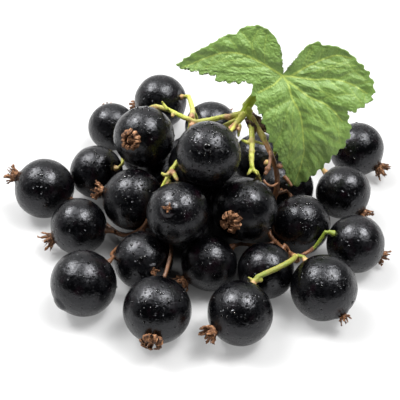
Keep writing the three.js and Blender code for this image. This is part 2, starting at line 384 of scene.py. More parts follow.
def skin_finish():
    material, tree, shader, place = new_material("blackcurrant skin")
    clouds = mottle(tree, place, 260, 5, 0.62)
    grain = mottle(tree, place, 1800, 3, 0.65)
    warm = mottle(tree, place, 420, 2)
    wrinkles = mottle(tree, place, 800, 4)
    cells = add(tree, "TexVoronoi", {"Vector": place, "Scale": 980})
    some = stretch(tree, add(tree, "SeparateXYZ", {0: cells.outputs["Color"]}).outputs[0],
                   0.52, 0.54)
    pore = combine(tree, "MAXIMUM", some, stretch(tree, cells.outputs["Distance"], 0.08, 0.27))

    black = blend(tree, stretch(tree, warm, 0.56, 0.74, 0, 0.7),
                  (0.0005, 0.0005, 0.0008, 1), (0.0060, 0.0010, 0.0030, 1))
    bloom = combine(tree, "MULTIPLY", stretch(tree, clouds, 0.42, 0.68),
                    stretch(tree, grain, 0.35, 0.65, 0.2, 1))
    colour = blend(tree, combine(tree, "MULTIPLY", bloom, 0.6),
                   black, (0.0046, 0.0048, 0.0062, 1))
    gloss = combine(tree, "ADD", stretch(tree, clouds, 0.35, 0.7, 0.18, 0.37),
                    stretch(tree, grain, 0.3, 0.7, -0.08, 0.09))
    join(tree, shader, {
        "Base Color": blend(tree, pore, (0.0002, 0.0002, 0.0002, 1), colour),
        "Roughness": gloss,
        "Normal": relief(tree, (wrinkles, 0.10), (grain, 0.075), (pore, 0.12)),
        "Specular IOR Level": 0.37, "Specular Tint": (0.93, 0.94, 1.0, 1),
        "Coat Weight": 0.08, "Coat Roughness": 0.15,
    })
    return material


skin = skin_finish()
show_finish(skin)

# %% Make the berries
BERRY_SUBDIVISIONS = 6


def make_berry(berry):
    bm = bmesh.new()
    bmesh.ops.create_icosphere(bm, subdivisions=BERRY_SUBDIVISIONS, radius=1)
    for point in bm.verts:
        way = point.co.normalized()
        point.co = berry["middle"] + way * skin_radius(berry, way)
    name = f"berry_{berry['number']:02d}"
    return make_piece(bm, name + "_skin", "berry_skin", [name], skin)


for berry in berries.values():
    make_berry(berry)
print("berries made:", len(berries))

# %% [markdown]
# ## Tubes along a route
# Stems, curls and threads are tubes. A tube here starts as a circle. The circle's edge is
# extruded again and again, and each new ring is carried to the next place on the route, turned
# with it and made narrower or wider. Turning each ring only as far as the route bends keeps the
# tube from twisting.

# %% Helpers for routes and tubes


def smooth_route(points, steps=5):
    """More points on a smooth curve through these."""
    ends = [2 * points[0] - points[1]] + points + [2 * points[-1] - points[-2]]
    route = []
    for before, start, end, after in zip(ends, ends[1:], ends[2:], ends[3:]):
        for step in range(steps):
            t = step / steps
            route.append(0.5 * (2 * start + (end - before) * t
                                + (2 * before - 5 * start + 4 * end - after) * t ** 2
                                + (3 * start - before - 3 * end + after) * t ** 3))
    return route + [points[-1]]


def value_along(values, share):
    """One of a list of widths, or a mix of two, at a share of the way along it."""
    spot = share * (len(values) - 1)
    first = min(int(spot), len(values) - 2)
    return values[first] + (values[first + 1] - values[first]) * (spot - first)


def grow_tube(bm, points, widths, sides=10):
    """Adds a closed tube through points. The widths are radii in metres."""
    route = smooth_route([Vector(point) for point in points])
    heading = (route[1] - route[0]).normalized()
    turn = heading.to_track_quat("Z", "X")
    places = []
    for index, point in enumerate(route):
        ahead = route[min(index + 1, len(route) - 1)] - route[max(index - 1, 0)]
        turn = heading.rotation_difference(ahead.normalized()) @ turn
        heading = ahead.normalized()
        width = value_along(widths, index / (len(route) - 1))
        places.append(Matrix.LocRotScale(point, turn, Vector((width, width, width))))
    ring = bmesh.ops.create_circle(
        bm, cap_ends=False, radius=1, segments=sides, matrix=places[0])["verts"]
    start = ring
    loop = list({edge for point in ring for edge in point.link_edges})
    for before, after in zip(places, places[1:]):
        grown = bmesh.ops.extrude_edge_only(bm, edges=loop)["geom"]
        ring = [item for item in grown if isinstance(item, bmesh.types.BMVert)]
        loop = [item for item in grown if isinstance(item, bmesh.types.BMEdge)
                and item.verts[0] in ring and item.verts[1] in ring]
        bmesh.ops.transform(bm, matrix=after @ before.inverted(), verts=ring)
    first = {edge for point in start for edge in point.link_edges
             if edge.other_vert(point) in start}
    bmesh.ops.holes_fill(bm, edges=list(first) + loop, sides=sides)


def add_knob(bm, place, radius, squash=1.0):
    """Adds a small lump for a swelling on a stem."""
    size = Matrix.LocRotScale(place, None, Vector((radius, radius, radius * squash)))
    bmesh.ops.create_icosphere(bm, subdivisions=3, radius=1, matrix=size)


# %% [markdown]
# ## The dry flowers
# Every blackcurrant keeps the rest of its flower: five sepals and five petals that have dried to
# a brown tuft. On some berries they stand open like a claw, and on others they have folded over
# the tip like a button. Each one is a strip that is folded along its middle, bent along its
# length, and crumpled. Ten strips stand around a short collar, with a few dry threads inside.
#
# A strip starts as a small grid. A point's place along the strip says how far out it stands, and
# its place across says how far it is folded back. The open sheets then get a second side, and
# each point carries a tone that the finish turns into a colour: light edges and a dark foot. On a
# folded button the tone also falls towards the sides of each strip, which is painted shade in the
# creases between the strips.

# %% The finish of dry petals


def dry_finish():
    material, tree, shader, place = new_material("dry petals")
    blotches = mottle(tree, place, 1500, 4, 0.65)
    fibres = mottle(tree, place, 5200, 2)
    mixed = combine(tree, "ADD", carried(tree, "tone"),
                    stretch(tree, blotches, 0.3, 0.7, -0.28, 0.28))
    join(tree, shader, {
        "Base Color": colour_ramp(
            tree, mixed, (0.05, (0.014, 0.008, 0.005, 1)), (0.34, (0.13, 0.055, 0.025, 1)),
            (0.62, (0.42, 0.21, 0.10, 1)), (0.95, (0.92, 0.66, 0.48, 1))),
        "Roughness": stretch(tree, blotches, 0.3, 0.7, 0.5, 0.8),
        "Normal": relief(tree, (blotches, 0.06), (fibres, 0.02)),
        "Specular IOR Level": 0.3,
    })
    return material


dry = dry_finish()
show_finish(dry)

# %% One dry strip
# The berries whose flower has folded into a button, and how crumpled each button is.
BUTTONS = {6: 0.16, 11: 0.42, 21: 0.30}
STRIP_THICKNESS = 0.10 * MM
FOLD_BACK = 2.85


def add_strip(bm, tone, turn, size, folded, length):
    """Adds one sepal or petal. Z points away from the berry, and folded is 0 or the crumple."""
    grid = bmesh.ops.create_grid(bm, x_segments=6, y_segments=11, size=1)["verts"]
    seed = Vector((random.uniform(0, 50), random.uniform(0, 50), random.uniform(0, 50)))
    lean = random.uniform(-0.25, 0.25)
    flare = random.uniform(0.75, 1.15)
    for point in grid:
        side = point.co.x
        along = (point.co.y + 1) / 2
        if folded:
            out = 0.55 + 1.25 * flare ** 0.4 * math.sin(FOLD_BACK * along)
            up = -0.4 + 0.72 * (1 - math.cos(FOLD_BACK * along))
            width = 0.46 - 0.20 * along ** 2
            crumple = folded
            # Painted shade: a folded strip darkens towards its sides, so the creases between the
            # strips look dark.
            shade = 1.05 - 0.75 * abs(side) ** 1.6 - 0.1 * along
        else:
            out = 0.72 + 1.0 * flare * along ** 1.4
            up = -0.35 + 2.1 * length * along
            width = 0.52 - 0.34 * along ** 1.5
            crumple = 0.34
            shade = 0.50 + 0.55 * along * (1 - 0.5 * abs(side))
        ridge = 0.28 * (1 - abs(side)) * (1 - 0.4 * along)
        bent = noise.noise_vector(Vector((side * 0.9, along * 3.2, 0)) + seed)
        place = Vector((out + ridge, side * width + lean * along, up)) + bent * crumple * along
        point[tone] = shade
        point.co = place * (size * MM)
    bmesh.ops.rotate(bm, verts=grid, cent=(0, 0, 0), matrix=Matrix.Rotation(turn, 3, "Z"))


def thicken(bm, thickness):
    """Gives open sheets a second side a little way behind the first."""
    bm.normal_update()
    lifted = bmesh.ops.extrude_face_region(bm, geom=bm.faces[:], use_keep_orig=True)["geom"]
    for item in lifted:
        if isinstance(item, bmesh.types.BMVert):
            item.co -= item.normal * thickness
    bmesh.ops.recalc_face_normals(bm, faces=bm.faces)


# %% Make the dry flowers
LARGEST_FLOWER = 1.1
TORN_FLOWER = 0.65


def make_flower(berry):
    bm = bmesh.new()
    tone = bm.verts.layers.float.new("tone")
    size = min(berry["flower_size"], LARGEST_FLOWER)
    folded = BUTTONS.get(berry["number"], 0)
    torn = size < TORN_FLOWER
    strips = 4 if torn else 10
    if folded:
        strips = 11
    for index in range(strips):
        turn = 2 * math.pi * (index + random.uniform(-0.25, 0.25)) / strips
        long = 1.0 if index % 2 == 0 else 0.72
        add_strip(bm, tone, turn, size, folded, long * random.uniform(0.8, 1.1))
    thicken(bm, STRIP_THICKNESS)

    old = set(bm.verts)
    for index in range(3 if torn or folded else 7):
        turn = random.uniform(0, 2 * math.pi)
        reach = random.uniform(0.2, 0.9)
        tall = random.uniform(1.0, 1.3) if folded else random.uniform(1.2, 2.3)
        foot = Vector((0.25 * math.cos(turn), 0.25 * math.sin(turn), -0.2))
        knee = Vector((0.35 * math.cos(turn), 0.35 * math.sin(turn), tall * 0.6))
        end = Vector((reach * math.cos(turn + 1), reach * math.sin(turn + 1), tall))
        points = [place * (size * MM) for place in (foot, knee, end)]
        grow_tube(bm, points, [0.10 * MM, 0.08 * MM, 0.04 * MM], sides=6)
    for point in [point for point in bm.verts if point not in old]:
        point[tone] = random.uniform(0.35, 0.8)

    old = set(bm.verts)
    core = Matrix.LocRotScale(Vector((0, 0, -0.15 * MM)), None,
                              Vector((0.95, 0.95, 0.55)) * (size * MM))
    bmesh.ops.create_icosphere(bm, subdivisions=3, radius=1, matrix=core)
    for point in [point for point in bm.verts if point not in old]:
        point.co += noise.noise_vector(point.co / MM * 2) * 0.12 * MM
        point[tone] = 0.2 + 0.35 * random.random()

    foot = berry["middle"] + berry["tip"] * skin_radius(berry, berry["tip"])
    turn = berry["tip"].to_track_quat("Z", "Y")
    bmesh.ops.transform(bm, matrix=Matrix.LocRotScale(foot, turn, None), verts=bm.verts)
    name = berry["flower"]
    return make_piece(bm, name + "_tuft", "dry_flower", [name], dry)


flowers = [make_flower(berry) for berry in berries.values() if berry["flower"]]
print("dry flowers made:", len(flowers))

# %% [markdown]
# ## The strigs
# A strig is a soft green string with little swellings where its stalks branch off, scars where a
# berry has dropped, and small dry bracts. It turns brown at those places first, and an old strig
# is brown all along.
#
# The CAD strigs have the right routes, but their tubes only meet at a corner. The way to join
# them without a seam is to lay all the tubes and swellings over each other, wrap the whole in
# one skin of tiny even faces, and smooth that. This is what a voxel remesh does.

# %% Copy, wrap and smooth
VOXEL = 0.12 * MM


def cad_copy(*nodes):
    """The meshes of these CAD nodes in one bmesh, with their loose triangles merged."""
    bm = bmesh.new()
    for node in nodes:
        bm.from_mesh(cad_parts[node].data)
    bmesh.ops.remove_doubles(bm, verts=bm.verts, dist=0.00001)
    return bm


def wrap(bm, voxel=VOXEL, rounds=5):
    """One smooth closed skin around everything in the bmesh."""
    mesh = bpy.data.meshes.new("loose")
    bm.to_mesh(mesh)
    bm.free()
    loose = bpy.data.objects.new("loose", mesh)
    bpy.context.scene.collection.objects.link(loose)
    remesh = loose.modifiers.new("wrap", "REMESH")
    remesh.mode = "VOXEL"
    remesh.voxel_size = voxel
    wrapped = bmesh.new()
    wrapped.from_object(loose, bpy.context.evaluated_depsgraph_get())
    bpy.data.objects.remove(loose)
    bpy.data.meshes.remove(mesh)
    for _ in range(rounds):
        bmesh.ops.smooth_vert(wrapped, verts=wrapped.verts, factor=0.5,
                              use_axis_x=True, use_axis_y=True, use_axis_z=True)
    wrapped.normal_update()
    return wrapped


# %% [markdown]
# ### The finish of the stems
# One network serves them all: a ramp from yellow green over olive and a pinkish brown to dark
# brown. Each point of a stem carries its age, from 0 to 1, and the ramp turns it into a colour.
# Deep in the heap the inner strig carries painted shade instead, which the ramp makes dark brown.
# The brown strig has darker greens in its young parts.

# %% The stems' finish


def stem_finish(name, fresh, ripe):
    """The fresh and the ripe colour are the greens of the youngest parts."""
    material, tree, shader, place = new_material(name)
    patches = mottle(tree, place, 700, 4, 0.6)
    specks = mottle(tree, place, 3200, 3)
    uneven = combine(tree, "ADD", stretch(tree, patches, 0.3, 0.7, -0.10, 0.10),
                     stretch(tree, specks, 0.35, 0.75, -0.04, 0.10))
    join(tree, shader, {
        "Base Color": colour_ramp(
            tree, combine(tree, "ADD", carried(tree, "age_and_shade"), uneven), (0.0, fresh), (0.18, ripe),
            (0.36, (0.31, 0.27, 0.065, 1)), (0.55, (0.46, 0.25, 0.13, 1)),
            (0.75, (0.20, 0.085, 0.035, 1)), (1.0, (0.045, 0.022, 0.012, 1))),
        "Roughness": stretch(tree, patches, 0.3, 0.7, 0.38, 0.6),
        "Normal": relief(tree, (patches, 0.05), (specks, 0.03)),
        "Specular IOR Level": 0.4,
    })
    return material


green_stem = stem_finish("green stem", (0.38, 0.48, 0.03, 1), (0.44, 0.43, 0.09, 1))
brown_stem = stem_finish("brown stem", (0.16, 0.24, 0.02, 1), (0.21, 0.24, 0.04, 1))
show_finish(green_stem, brown_stem)

# %% [markdown]
# ### Extra growths
# The tubes are the small things on each strig: nubs, scars, curls and bracts, each as a route and
# the widths along it. The swellings have a place, a radius, how far the brown reaches from them
# and how old they look. The last list says which berries each strig carries.
#
# The middle strig takes another course here than in the CAD, with a bend of its own, so its CAD
# tube is left out and its first tube runs all the way down.

# %% What grows on each strig
TUBES = {
    "strig_left": [
        (((9.6, 5.6, 25.9), (8.2, 5.4, 24.9), (7.2, 5.8, 24.3), (4.5, 6.2, 23.3)),
         (0.8, 0.75, 0.6, 0.45)),
        (((8.6, 5.0, 25.4), (7.5, 4.4, 24.1), (6.6, 3.8, 23.2), (5.6, 3.2, 22.6)),
         (0.65, 0.58, 0.55, 0.5)),
        (((7.6, 3.6, 23.6), (7.4, 2.8, 22.9), (7.2, 2.3, 21.7)), (0.3, 0.34, 0.22)),
        (((-6.3, 10.0, 22.6), (-7.1, 10.9, 23.2), (-7.4, 11.0, 23.9)), (0.35, 0.26, 0.12)),
        (((-5.2, 9.1, 22.6), (-5.4, 8.2, 22.3)), (0.4, 0.26)),
        (((-1.6, 6.9, 22.2), (-1.9, 6.4, 21.4), (-2.1, 6.1, 20.8)), (0.45, 0.36, 0.2)),
    ],
    "strig_back": [],
    "strig_inner": [
        (((-5.1, -4.8, 18.8), (-5.9, -5.3, 18.6), (-6.5, -5.4, 18.6), (-7.1, -5.1, 18.8)),
         (0.45, 0.38, 0.34, 0.22)),
        (((-4.8, -5.1, 18.8), (-4.5, -6.4, 18.9), (-4.0, -7.4, 18.8)), (0.45, 0.40, 0.24)),
        (((-5.6, -5.6, 17.6), (-6.4, -6.6, 16.4), (-7.6, -7.4, 14.8)), (0.4, 0.36, 0.3)),
    ],
    "strig_middle": [
        (((9.2, 5.2, 25.0), (9.6, 4.2, 23.5), (9.8, 1.2, 21.7), (9.6, -2.2, 20.0),
          (9.7, -4.0, 18.8), (10.6, -3.0, 17.2), (11.3, -2.0, 14.5), (11.6, -1.8, 12.4),
          (11.3, -2.1, 10.6)), (0.62, 0.52, 0.48, 0.46, 0.42, 0.38, 0.35, 0.35, 0.35)),
        (((11.0, -2.4, 15.5), (10.4, -0.6, 12.8), (9.2, 0.9, 10.9)), (0.35, 0.35, 0.35)),
        (((9.2, 0.5, 21.5), (8.5, 1.4, 21.2), (7.9, 2.4, 20.8)), (0.36, 0.30, 0.24)),
        (((9.8, 0.9, 21.7), (10.9, 1.3, 21.1), (12.2, 1.4, 20.4)), (0.30, 0.24, 0.14)),
        (((9.6, -3.6, 18.9), (10.2, -4.6, 18.7), (10.6, -5.2, 18.4)), (0.4, 0.26, 0.1)),
        (((9.6, -3.8, 18.8), (9.0, -4.9, 18.6), (8.6, -5.2, 18.4)), (0.4, 0.26, 0.1)),
    ],
    "strig_front": [
        (((9.6, 5.0, 24.4), (10.6, 4.2, 23.0), (12.2, 2.0, 21.4)), (0.6, 0.55, 0.5)),
        (((11.8, -5.2, 17.2), (12.2, -5.8, 16.9), (13.0, -6.3, 16.7), (13.8, -6.0, 16.6),
          (14.5, -5.2, 16.6)), (0.3, 0.26, 0.24, 0.22, 0.12)),
        (((15.9, -2.4, 15.9), (16.6, -3.2, 15.4), (17.3, -4.0, 14.8)), (0.4, 0.32, 0.26)),
        (((10.2, -22.4, 8.1), (9.2, -22.6, 8.5), (8.5, -22.3, 8.9)), (0.34, 0.28, 0.12)),
    ],
    "strig_right": [],
}
SWELLINGS = {
    "strig_left": [((-1.5, 6.9, 22.2), 0.64, 1.6, 0.60), ((5.6, 6.1, 23.5), 0.66, 1.4, 0.55),
                   ((6.3, 3.6, 22.8), 0.74, 1.5, 0.62), ((7.3, 2.9, 23.0), 0.42, 0.8, 0.5),
                   ((-5.3, 8.4, 22.4), 0.30, 0.8, 0.4), ((-12.5, 16, 17), 0.62, 1.5, 0.5)],
    "strig_back": [((-1.6, 8.6, 21.8), 0.6, 1.8, 0.55), ((-1.5, 18, 16.5), 0.6, 1.5, 0.5)],
    "strig_inner": [((-5.2, -4.7, 18.6), 0.70, 1.6, 0.66), ((-9, -6.8, 11), 0.65, 1.5, 0.6)],
    "strig_middle": [((9.7, 1.0, 21.7), 0.60, 0.9, 0.5), ((9.7, -1.0, 20.7), 0.58, 0.8, 0.45),
                     ((9.7, -3.9, 18.8), 0.50, 0.6, 0.3)],
    "strig_front": [((15.0, -2.0, 18.0), 0.62, 1.2, 0.8), ((12.6, -3.6, 18.6), 0.56, 1.0, 0.8),
                    ((16.9, -13.2, 4.3), 0.75, 1.6, 0.75), ((17.7, -16, 7), 0.66, 1.4, 0.7),
                    ((10.6, -22.4, 8.3), 0.55, 0.8, 0.3)],
    "strig_right": [((20, 9.5, 13.5), 0.6, 1.5, 0.6)],
}
CARRIES = {
    "strig_left": (8, 6, 3, 30, 4), "strig_back": (26, 31, 7, 29, 5),
    "strig_inner": (24, 10, 9, 27, 19, 18, 2, 21, 1), "strig_middle": (28, 11),
    "strig_front": (12, 25, 20, 23, 17, 16, 22), "strig_right": (13, 14, 15),
}
REROUTED = ("strig_middle",)
print(sum(len(tubes) for tubes in TUBES.values()), "tubes and",
      sum(len(spots) for spots in SWELLINGS.values()), "swellings to add")

# %% [markdown]
# ### The age of a stem, and painted shade
# Most strigs are green. The inner one is dark brown where it is deep in the heap, which is painted
# shade, so that it disappears in the dark between the berries. The front one is brown except near
# the fork and at its two ends. A swelling, and a stalk where it meets its berry, is older than the
# stem around it.

# %% How old a stem is at each place, and where it is painted dark as shade
GREEN_AGE = 0.13
BERRY_JOINT_AGE = 0.62
GREEN_TIP_AGE = 0.1
GREEN_TIP = at(21.4, 0, 0)


def plain_age_and_shade(strig, place):
    """The age away from the swellings and the berries, and painted shade deep in the heap."""
    x, y, z = place / MM - HEAP_SHIFT
    # Painted shade: the inner strig is dark brown deep in the heap, so it disappears in the dark
    # there.
    if strig == "strig_inner":
        return 0.88 - 0.75 * soft_step((z - 12.5) / 3)
    if strig != "strig_front":
        return GREEN_AGE
    start = soft_step((z - 19.0) / 3.0)
    green_end = soft_step((-14.5 - y) / 1.5)
    return 0.80 - 0.42 * start - 0.70 * green_end


def stem_age_and_shade(strig, place):
    if strig == "strig_front" and place.x > GREEN_TIP.x and place.y < 0:
        return GREEN_TIP_AGE
    age_and_shade = plain_age_and_shade(strig, place)
    for spot, _, reach, strength in SWELLINGS[strig]:
        near = soft_step(1.25 - (place - at(*spot)).length / (reach * MM))
        age_and_shade = age_and_shade + (strength - age_and_shade) * near if strength > age_and_shade else age_and_shade
    for number in CARRIES[strig]:
        berry = berries[number]
        gap = (place - berry["middle"]).length - berry["radius"]
        near = 0.75 * soft_step(1 - gap / (1.6 * MM))
        age_and_shade = age_and_shade + (BERRY_JOINT_AGE - age_and_shade) * near if age_and_shade < BERRY_JOINT_AGE else age_and_shade
    return age_and_shade


# %% [markdown]
# ### Wrapping the strigs
# Each strig is its CAD tube, its extra tubes and swellings, and a short cone where each berry
# hangs, all in one skin. The skin is then roughened a little. The left strig also dips: the
# weight of its side stalk pulls a straight stretch down to a sharp bend.

# %% Make the strigs
SAG_BEND = at(-0.9, 6.9, 22.2)
SAG_WAY = Vector((0, -0.35, -0.94))
SAG_DEPTH = 1.25 * MM
SAG_REACH = 5.4 * MM
SAG_BOTTOM = at(0, 0, 20)


def sag(place):
    """How the left strig dips, most at the bend where its first side stalk leaves it."""
    if place.z < SAG_BOTTOM.z:
        return Vector((0, 0, 0))
    share = 1 - abs(place.x - SAG_BEND.x) / SAG_REACH
    return SAG_WAY * SAG_DEPTH * max(share, 0)


def make_strig(strig):
    bm = cad_copy(*([] if strig in REROUTED else [strig]))
    for points, widths in TUBES[strig]:
        grow_tube(bm, [at(*point) for point in points], [width * MM for width in widths])
    for spot, radius, _, _ in SWELLINGS[strig]:
        add_knob(bm, at(*spot), radius * MM, 0.85)
    for number in CARRIES[strig]:
        berry = berries[number]
        ways = [berry["middle"] + berry["stalk"] * (berry["radius"] + gap * MM)
                for gap in (-0.55, 0.1, 0.8)]
        grow_tube(bm, ways, [0.75 * MM, 0.52 * MM, 0.34 * MM])
    bm = wrap(bm)
    age_and_shade = bm.verts.layers.float.new("age_and_shade")
    for point in bm.verts:
        rough = 0.06 * noise.noise(point.co / MM * 1.1) + 0.04 * noise.noise(point.co / MM * 3.1)
        point[age_and_shade] = stem_age_and_shade(strig, point.co)
        point.co += point.normal * (0.05 + rough) * MM
        if strig == "strig_left":
            point.co += sag(point.co)
    if strig == "strig_front":
        return make_piece(bm, strig + "_skin", "brown_stem", [strig], brown_stem)
    return make_piece(bm, strig + "_skin", "green_stem", [strig], green_stem)


for strig in TUBES:
    print(strig, "has", len(make_strig(strig).data.polygons), "faces")

# %% [markdown]
# ## The spur
# The spur is wood: a dark knot with the scales of old buds around it. It is wrapped like the
# strigs, then its skin is pushed in and out much further, so that it looks like bark.

# %% The bark's finish


def bark_finish():
    material, tree, shader, place = new_material("bark")
    flakes = add(tree, "TexVoronoi", {"Vector": place, "Scale": 1300}).outputs["Distance"]
    patches = mottle(tree, place, 900, 5, 0.65)
    mixed = combine(tree, "MULTIPLY", stretch(tree, flakes, 0.1, 0.7),
                    stretch(tree, patches, 0.3, 0.75))
    join(tree, shader, {
        "Base Color": blend(tree, mixed, (0.028, 0.014, 0.008, 1), (0.26, 0.13, 0.065, 1)),
        "Roughness": stretch(tree, patches, 0.3, 0.7, 0.6, 0.85),
        "Normal": relief(tree, (flakes, 0.1), (patches, 0.08)),
    })
    return material


bark = bark_finish()
show_finish(bark)

# %% Make the spur
SPUR_WAY = ((9.6, 5.8, 24.2), (11.0, 5.6, 22.9), (13.0, 4.9, 21.4), (14.6, 4.4, 20.2))
SPUR_KNOT = ((9.0, 4.6, 23.9), (9.6, 4.2, 23.2), (10.4, 3.9, 22.6), (11.6, 4.4, 22.2))
SPUR_SCALES = 40
BARK_VOXEL = 0.1 * MM


def make_spur():
    bm = bmesh.new()
    grow_tube(bm, [at(*point) for point in SPUR_WAY], [0.75 * MM, 0.8 * MM, 0.6 * MM, 0.5 * MM])
    grow_tube(bm, [at(*point) for point in SPUR_KNOT], [0.45 * MM, 0.8 * MM, 0.75 * MM, 0.4 * MM])
    route = smooth_route([at(*point) for point in SPUR_KNOT + SPUR_WAY])
    for index in range(SPUR_SCALES):
        place = route[int(index / SPUR_SCALES * (len(route) - 1))]
        way = Vector((random.gauss(0, 1), random.gauss(0, 1), random.gauss(0, 1))).normalized()
        foot = place + way * 0.5 * MM
        tip = foot + (way + Vector((0.5, -0.3, -0.6))).normalized() * random.uniform(0.5, 1.1) * MM
        grow_tube(bm, [foot, (foot + tip) / 2 + way * 0.1 * MM, tip],
                  [0.36 * MM, 0.3 * MM, 0.1 * MM], sides=8)
    bm = wrap(bm, BARK_VOXEL, 2)
    for point in bm.verts:
        rough = noise.noise(point.co / MM * 1.8) * 0.16 + noise.noise(point.co / MM * 4.5) * 0.1
        point.co += point.normal * rough * MM
    return make_piece(bm, "spur_bark", "woody_spur", ["spur"], bark)


spur = make_spur()
print("spur has", len(spur.data.polygons), "faces")

# %% [markdown]
# ## The leaf stalk
# The leaf stands on a smooth green stalk that is swollen where it leaves the spur. The CAD stalk
# has the right route, so a tube with a thick foot is laid over its lower half, and both are
# wrapped together. More rounds of smoothing than a strig gets take away every corner.

# %% Make the leaf stalk
LEAF_STALK_WAY = ((7.7, 4.9, 23.9), (8.5, 5.5, 25.2), (9.7, 6.5, 27.0), (12, 7, 30),
                  (14.4, 6.4, 32.6))


def make_leaf_stalk():
    bm = cad_copy("leaf_stalk")
    grow_tube(bm, [at(*point) for point in LEAF_STALK_WAY],
              [0.6 * MM, 0.85 * MM, 0.85 * MM, 0.75 * MM, 0.7 * MM], sides=16)
    bm = wrap(bm, rounds=12)
    age_and_shade = bm.verts.layers.float.new("age_and_shade")
    foot = at(*LEAF_STALK_WAY[0])
    for point in bm.verts:
        rough = 0.05 * noise.noise(point.co / MM * 0.9)
        point[age_and_shade] = 0.12 * soft_step(1 - (point.co - foot).length / (2.2 * MM))
        point.co += point.normal * (0.03 + rough) * MM
    return make_piece(bm, "leaf_stalk_skin", "leaf_stalk", ["leaf_stalk"], green_stem)


leaf_stalk = make_leaf_stalk()
print("leaf stalk has", len(leaf_stalk.data.polygons), "faces")

# %% [markdown]
# ## The leaf
# A blackcurrant leaf has three large lobes, a heart-shaped base and a double row of teeth. Its
# veins lie in grooves on the upper side, and the blade between them bulges like a quilt.
#
# It starts as a circle of points that is given the leaf's outline. That ring is small at first,
# and it is extruded and scaled up again and again until it reaches the margin, where the last
# ring takes the teeth. Each point then looks for the nearest vein and rises with the distance
# from it. Rings that are scaled copies only stay clear of each other if the margin never turns
# back as seen from the stalk, so the helper keeps it turning by a hair where it would.

# %% The outline
OUTLINE = [
    (0.0, -0.4), (0.1, -1.8), (-0.1, -3.4), (-0.8, -5.7), (-1.8, -7.3), (-3.0, -8.4), (-4.4, -9.0),
    (-6.3, -9.0), (-7.8, -8.5), (-8.3, -7.7), (-10.5, -7.3), (-12.4, -6.2), (-14.4, -5.1),
    (-16.3, -4.1), (-18.0, -2.9), (-19.7, -1.6), (-17.9, -1.1), (-15.8, -0.9), (-15.4, -0.5),
    (-13.6, -0.3), (-12.4, -0.1), (-12.1, 0.7), (-10.5, 1.1), (-8.7, 1.1), (-6.9, 1.0),
    (-5.7, 1.3), (-5.6, 2.8), (-4.8, 4.4), (-4.7, 6.0), (-3.8, 6.9), (-3.6, 8.2), (-2.9, 9.7),
    (-1.8, 12.5), (-0.8, 14.3), (0.3, 16.6), (1.4, 18.9), (2.5, 20.9), (4.0, 20.2), (5.2, 19.4),
    (6.3, 18.4), (7.6, 17.3), (8.9, 15.8), (10.0, 14.5), (11.5, 13.1), (12.2, 11.7),
    (12.7, 10.7), (12.5, 9.2), (12.0, 7.3), (12.1, 6.5), (13.3, 6.5), (15.0, 5.5), (16.2, 4.8),
    (16.8, 3.6), (17.1, 2.6), (16.7, 1.2), (15.6, -0.8), (14.1, -2.3), (12.8, -3.6),
    (11.0, -4.8), (8.9, -5.5), (7.3, -5.5), (6.5, -6.1), (5.3, -5.8), (4.0, -5.0), (2.5, -3.3),
    (1.2, -1.6),
]
SPOKES = 560
MARGIN_STEPS = 16
LEAST_TURN = 0.001


def leaf_margin():
    """Points at even steps around the outline in millimetres, and the length of the margin."""
    closed = [Vector((across, down, 0)) for across, down in OUTLINE]
    dense = []
    count = len(closed)
    for index in range(count):
        four = [closed[(index + shift) % count] for shift in (-1, 0, 1, 2)]
        lengths = [max((b - a).length, 0.01) ** 0.5 for a, b in zip(four, four[1:])]
        before, start, end, after = four
        lead = ((start - before) / lengths[0] - (end - before) / (lengths[0] + lengths[1])
                + (end - start) / lengths[1]) * lengths[1]
        trail = ((end - start) / lengths[1] - (after - start) / (lengths[1] + lengths[2])
                 + (after - end) / lengths[2]) * lengths[1]
        for step in range(MARGIN_STEPS):
            t = step / MARGIN_STEPS
            dense.append((2 * t ** 3 - 3 * t ** 2 + 1) * start + (t ** 3 - 2 * t ** 2 + t) * lead
                         + (3 * t ** 2 - 2 * t ** 3) * end + (t ** 3 - t ** 2) * trail)
    ends = dense[1:] + dense[:1]
    walked = [0]
    for a, b in zip(dense, ends):
        walked.append(walked[-1] + (b - a).length)
    margin = []
    for spoke in range(SPOKES):
        goal = spoke / SPOKES * walked[-1]
        index = min(bisect.bisect_right(walked, goal) - 1, len(dense) - 1)
        share = (goal - walked[index]) / (walked[index + 1] - walked[index])
        margin.append(dense[index].lerp(ends[index], share))
    turned = math.atan2(margin[0].y, margin[0].x)
    for spoke in range(1, SPOKES):
        place = margin[spoke]
        step = math.remainder(math.atan2(place.y, place.x) - turned, 2 * math.pi)
        turned += min(step, -LEAST_TURN)
        margin[spoke] = Vector((math.cos(turned), math.sin(turned), 0)) * place.length
    return margin, walked[-1]


def margin_outward(spoke):
    """The direction straight out of the leaf at one point of its margin."""
    along = margin[(spoke + 3) % SPOKES] - margin[spoke - 3]
    return Vector((-along.y, along.x, 0)).normalized()


margin, margin_length = leaf_margin()
print("leaf margin is", round(margin_length, 1), "mm long")

# %% [markdown]
# ### The teeth
# A tooth leans towards the tip of its lobe. Walking around the margin, the distance from the
# stalk grows until the tip and shrinks after it, so its change says which way a tooth leans.
# Each large tooth has two small ones on it, and the teeth are lower near the leaf's base.

# %% How far each tooth stands out
TOOTH_PITCH = 1.9
TOOTH_TIP = 0.78
LARGE_TOOTH = 0.85
SMALL_TOOTH = 0.26
TOOTH_FOOT = 0.38


def tooth_height(share, leaning):
    """A slanted tooth: share goes from 0 to 1 across it."""
    share = share if leaning > 0 else 1 - share
    return share / TOOTH_TIP if share < TOOTH_TIP else (1 - share) / (1 - TOOTH_TIP)


